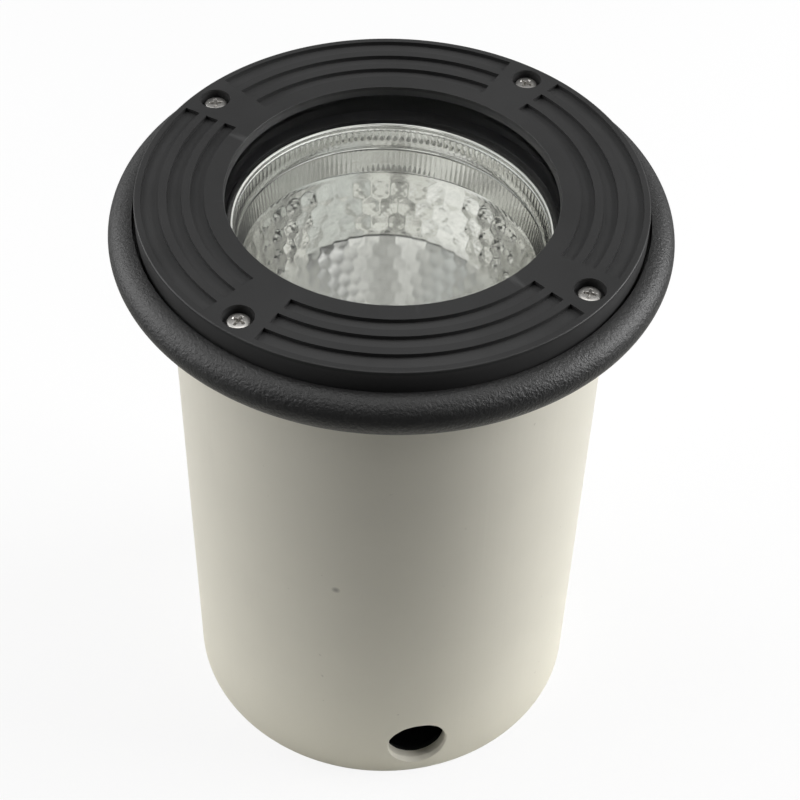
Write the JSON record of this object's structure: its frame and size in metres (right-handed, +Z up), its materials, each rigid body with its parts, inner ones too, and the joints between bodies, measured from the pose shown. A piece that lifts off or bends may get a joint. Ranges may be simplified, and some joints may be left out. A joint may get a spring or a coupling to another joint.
{
  "type": "in ground well light",
  "caption": "Round in-ground well light: pipe sleeve, beaded collar, ribbed screwed trim ring, clear lens and an aimable facetted reflector inside.",
  "frame": {"origin": "centre of the bottom of the sleeve, on the ground face", "axes": "+Z up the light's axis towards the lens; -Y towards the cable hole; the pivot pins lie along Y"},
  "size_m": [0.2, 0.2, 0.248],
  "materials": {
    "sleeve": "off-white PVC, satin, lightly marked",
    "base_cap": "black moulded plastic, matt",
    "collar": "black moulded composite, fine grain",
    "trim": "die-cast, smooth satin black coat",
    "housing": "die-cast, black powder coat",
    "silicone": "black silicone",
    "lens_glass": "clear toughened glass, ground edge",
    "stainless": "turned stainless steel",
    "gimbal": "black glass-filled nylon",
    "bush": "natural nylon",
    "zinc_steel": "bright zinc-plated steel",
    "reflector": "anodised bright aluminium, facetted",
    "ceramic": "white glazed ceramic",
    "brass": "plain brass",
    "lamp_glass": "frosted glass envelope",
    "nickel": "nickel-plated brass",
    "gland": "black nylon"
  },
  "bodies": {
    "root": {"sleeve": "sleeve", "base_cap": "base_cap", "collar": "collar", "trim_ring": "trim", "trim_screws": "stainless", "housing": "housing", "lens_gasket": "silicone", "lens_glass": "lens_glass", "gland_body": "gland", "gland_nut": "gland", "gland_seal": "silicone", "gland_locknut": "gland", "gland_oring": "silicone", "terminal_block": "ceramic", "terminal_screws": "brass", "block_screws": "zinc_steel", "earth_terminal": "brass"},
    "gimbal": {"gimbal_ring": "gimbal", "pivot_bushes": "bush"},
    "lamp_carrier": {"lamp_bracket": "zinc_steel", "pivot_pins": "zinc_steel", "carrier_plate": "zinc_steel", "plate_screws": "zinc_steel", "reflector": "reflector", "reflector_screws": "zinc_steel", "lampholder": "ceramic", "holder_shell": "brass", "holder_contact": "brass", "holder_screws": "zinc_steel", "lamp": "lamp_glass", "lamp_cap": "nickel", "lamp_contact": "nickel"}
  },
  "joints": [
    {"name": "pan", "type": "hinge", "parent": "root", "child": "gimbal", "pos_m": [0, 0, 0.212], "axis": [0, 0, 1], "range_deg": [-175, 175]},
    {"name": "tilt", "type": "hinge", "parent": "gimbal", "child": "lamp_carrier", "pos_m": [0, 0, 0.2195], "axis": [0, 1, 0], "range_deg": [-7.8, 4.2]}
  ]
}
